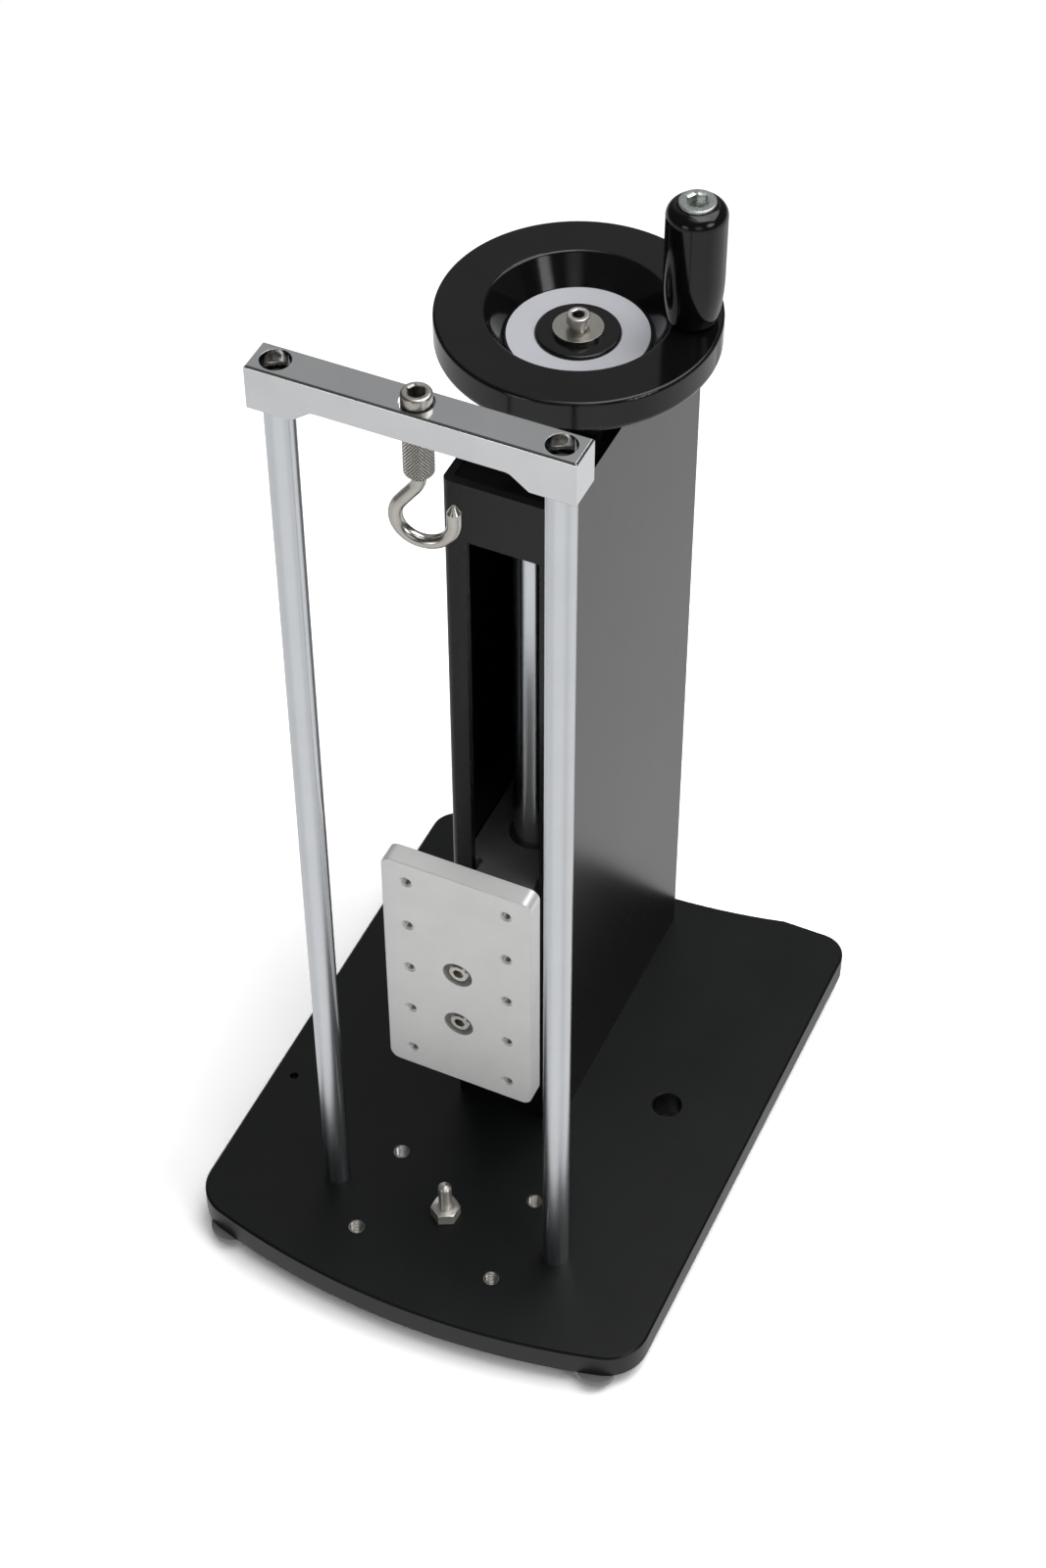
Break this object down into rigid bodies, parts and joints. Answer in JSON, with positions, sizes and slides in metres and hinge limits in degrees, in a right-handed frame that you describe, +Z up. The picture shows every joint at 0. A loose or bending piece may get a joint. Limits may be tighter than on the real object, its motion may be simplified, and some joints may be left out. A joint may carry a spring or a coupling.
{
  "type": "force gauge test stand",
  "caption": "Upright hand-cranked test stand: bowed base, slotted column with a sliding gauge plate, dished handwheel, and a two-rod frame with a swivelling hook.",
  "frame": {"origin": "middle of the footprint of the base, on the bench, at the bottom of the feet", "axes": "+Z up along the column, -Y to the front where the gauge plate and the hook frame stand, +X to the right seen from the front"},
  "size_m": [0.24, 0.31, 0.5541],
  "materials": {
    "base_black": "satin black coating",
    "column_black": "brushed, dark anodised",
    "cap_black": "smooth black coating",
    "foot_grey": "smooth",
    "zinc_steel": "zinc plated",
    "stainless": "turned, bright",
    "rod_chrome": "polished",
    "bar_satin": "satin, clear anodised",
    "plate_satin": "satin, clear anodised",
    "block_grey": "satin, grey anodised",
    "plinth_grey": "plain milled",
    "housing_grey": "turned, dark anodised",
    "bearing_steel": "ground",
    "screw_steel": "rolled thread",
    "bushing_dark": "sliding liner",
    "nut_bronze": "machined",
    "wheel_gloss": "gloss black",
    "grip_matte": "fine matt black",
    "dial_silver": "satin silver, plain",
    "axle_steel": "turned",
    "black_screw": "blackened"
  },
  "bodies": {
    "base": {"base_plate": "base_black", "feet": "foot_grey", "foot_screws": "zinc_steel", "thread_inserts": "stainless", "centre_stud": "stainless", "stud_nut": "stainless", "left_rod": "rod_chrome", "right_rod": "rod_chrome", "rod_foot_screws": "zinc_steel", "crossbar": "bar_satin", "rod_top_screws": "black_screw", "column_tube": "column_black", "column_plinth": "plinth_grey", "column_cap": "cap_black", "column_screws": "zinc_steel", "column_rear_screws": "black_screw", "guide_shaft": "rod_chrome", "guide_shaft_screw": "zinc_steel", "bearing_housing": "housing_grey", "housing_screws": "zinc_steel", "upper_bearing": "bearing_steel", "lower_bearing": "bearing_steel"},
    "wheel": {"lead_screw": "screw_steel", "upper_bearing_race": "bearing_steel", "lower_bearing_race": "bearing_steel", "spacer_sleeve": "screw_steel", "wheel_key": "zinc_steel", "handwheel": "wheel_gloss", "dial_ring": "dial_silver", "hub_washer": "stainless", "hub_screw": "stainless", "handle_axle": "axle_steel"},
    "handle": {"handle_grip": "grip_matte"},
    "carriage": {"carriage_block": "block_grey", "guide_bushings": "bushing_dark", "lead_nut": "nut_bronze", "lead_nut_screws": "zinc_steel", "carriage_plate": "plate_satin", "plate_screws": "stainless"},
    "hook": {"hook_screw": "stainless", "hook_barrel": "stainless", "hook_wire": "stainless"}
  },
  "joints": [
    {"name": "handwheel_spin", "type": "hinge", "parent": "base", "child": "wheel", "pos_m": [0, 0.0565, 0.475], "axis": [0, 0, 1], "range_deg": [-18000, 6750]},
    {"name": "handle_spin", "type": "hinge", "parent": "wheel", "child": "handle", "pos_m": [0.04598, 0.07029, 0.51], "axis": [0, 0, 1], "continuous": true},
    {"name": "carriage_slide", "type": "slide", "parent": "base", "child": "carriage", "axis": [0, 0, 1], "range_m": [-0.076, 0.201]},
    {"name": "hook_swivel", "type": "hinge", "parent": "base", "child": "hook", "pos_m": [0, -0.095, 0.52], "axis": [0, 0, 1], "continuous": true}
  ],
  "couplings": [
    {"joint": "carriage_slide", "follows": "handwheel_spin", "m_per_rad": -0.00063662}
  ]
}
